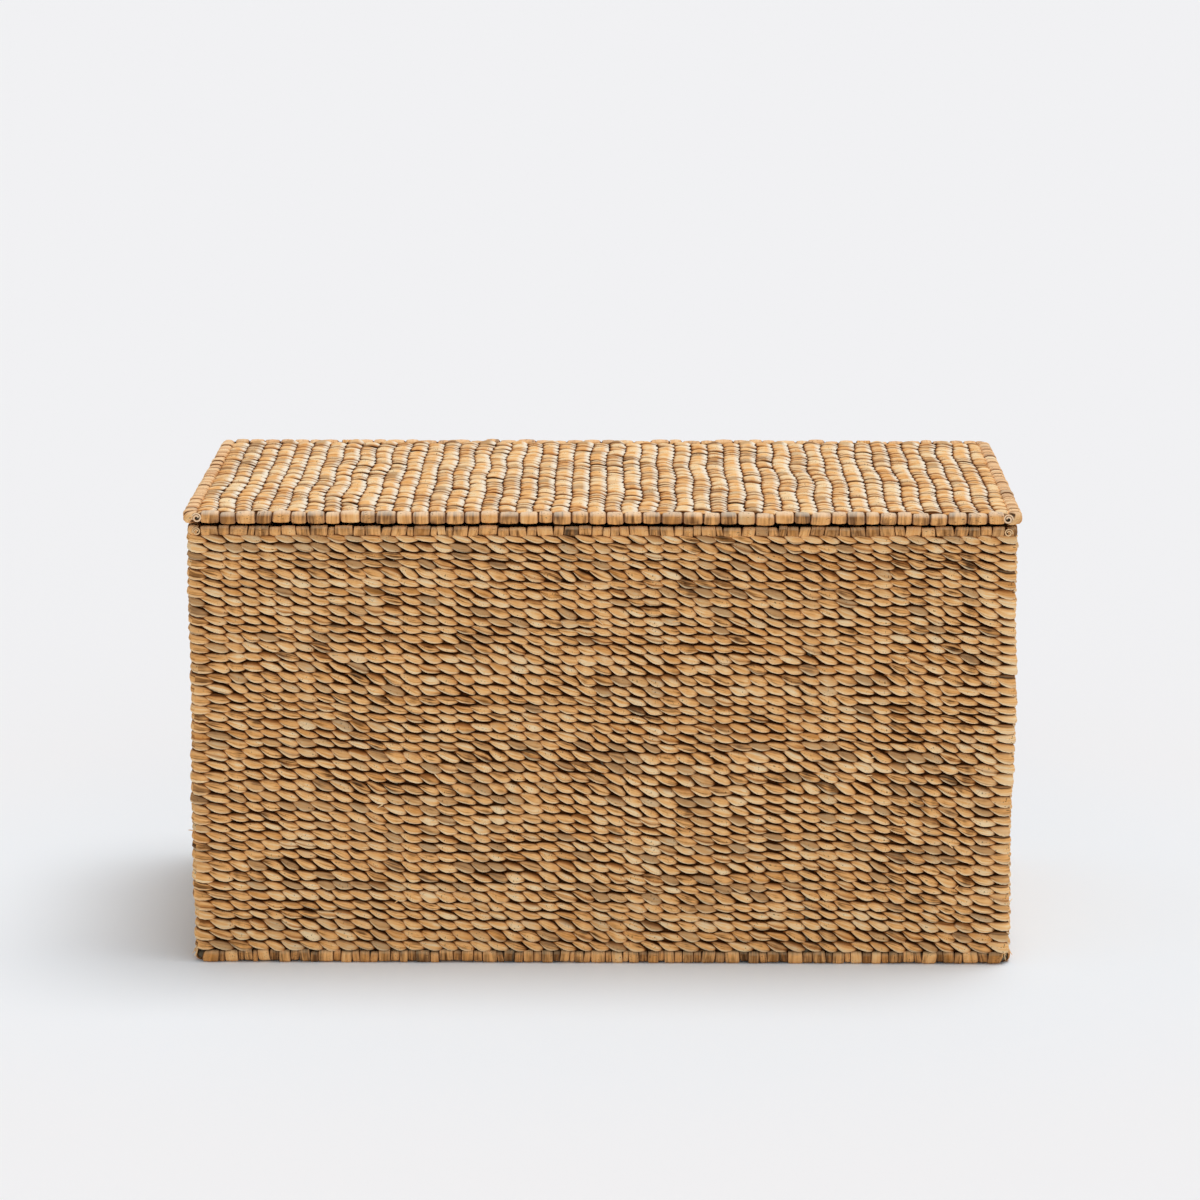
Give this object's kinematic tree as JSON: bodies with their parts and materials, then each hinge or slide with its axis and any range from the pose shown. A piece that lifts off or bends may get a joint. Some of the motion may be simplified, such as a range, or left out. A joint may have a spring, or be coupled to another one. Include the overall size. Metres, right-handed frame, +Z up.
{
  "type": "woven lidded chest",
  "caption": "Rectangular storage chest woven from dried plant strand over a metal rod frame, with a flat woven lid hinged at the back.",
  "frame": {"origin": "middle of the footprint, on the floor that the chest stands on", "axes": "+X along the width to the right seen from the front, +Y from the front to the hinged back, +Z up"},
  "size_m": [0.806, 0.406, 0.4499],
  "materials": {
    "wall_strand": "dried water-hyacinth strand, matt and fibrous, tan with brown and grey strands among it",
    "lid_strand": "dried water-hyacinth strand, matt and fibrous, paler where it catches the light",
    "frame_rod": "dark grey painted rod, satin"
  },
  "bodies": {
    "chest": {"base_ring": "frame_rod", "rim_ring": "frame_rod", "corner_post_front_left": "frame_rod", "corner_post_front_right": "frame_rod", "corner_post_back_left": "frame_rod", "corner_post_back_right": "frame_rod", "upright_front_1": "frame_rod", "upright_front_2": "frame_rod", "upright_front_3": "frame_rod", "upright_back_1": "frame_rod", "upright_back_2": "frame_rod", "upright_back_3": "frame_rod", "upright_left": "frame_rod", "upright_right": "frame_rod", "floor_bar_1": "frame_rod", "floor_bar_2": "frame_rod", "floor_bar_3": "frame_rod", "wall_weave": "wall_strand", "floor_weave": "wall_strand", "base_wrap_back": "wall_strand", "base_wrap_front": "wall_strand", "base_wrap_left": "wall_strand", "base_wrap_right": "wall_strand", "rim_wrap_front": "wall_strand", "rim_wrap_left": "wall_strand", "rim_wrap_right": "wall_strand", "rim_wrap_back_1": "wall_strand", "rim_wrap_back_2": "wall_strand", "rim_wrap_back_3": "wall_strand"},
    "lid": {"lid_ring": "frame_rod", "lid_bar_1": "frame_rod", "lid_bar_2": "frame_rod", "lid_bar_3": "frame_rod", "lid_weave": "lid_strand", "lid_wrap_front": "lid_strand", "lid_wrap_left": "lid_strand", "lid_wrap_right": "lid_strand", "lid_wrap_back_1": "lid_strand", "lid_wrap_back_2": "lid_strand", "lid_wrap_back_3": "lid_strand", "hinge_lashing_1": "wall_strand", "hinge_lashing_2": "wall_strand"}
  },
  "joints": [
    {"name": "lid_hinge", "type": "hinge", "parent": "chest", "child": "lid", "pos_m": [0, 0.194, 0.4304], "axis": [-1, 0, 0], "range_deg": [0, 95]}
  ]
}
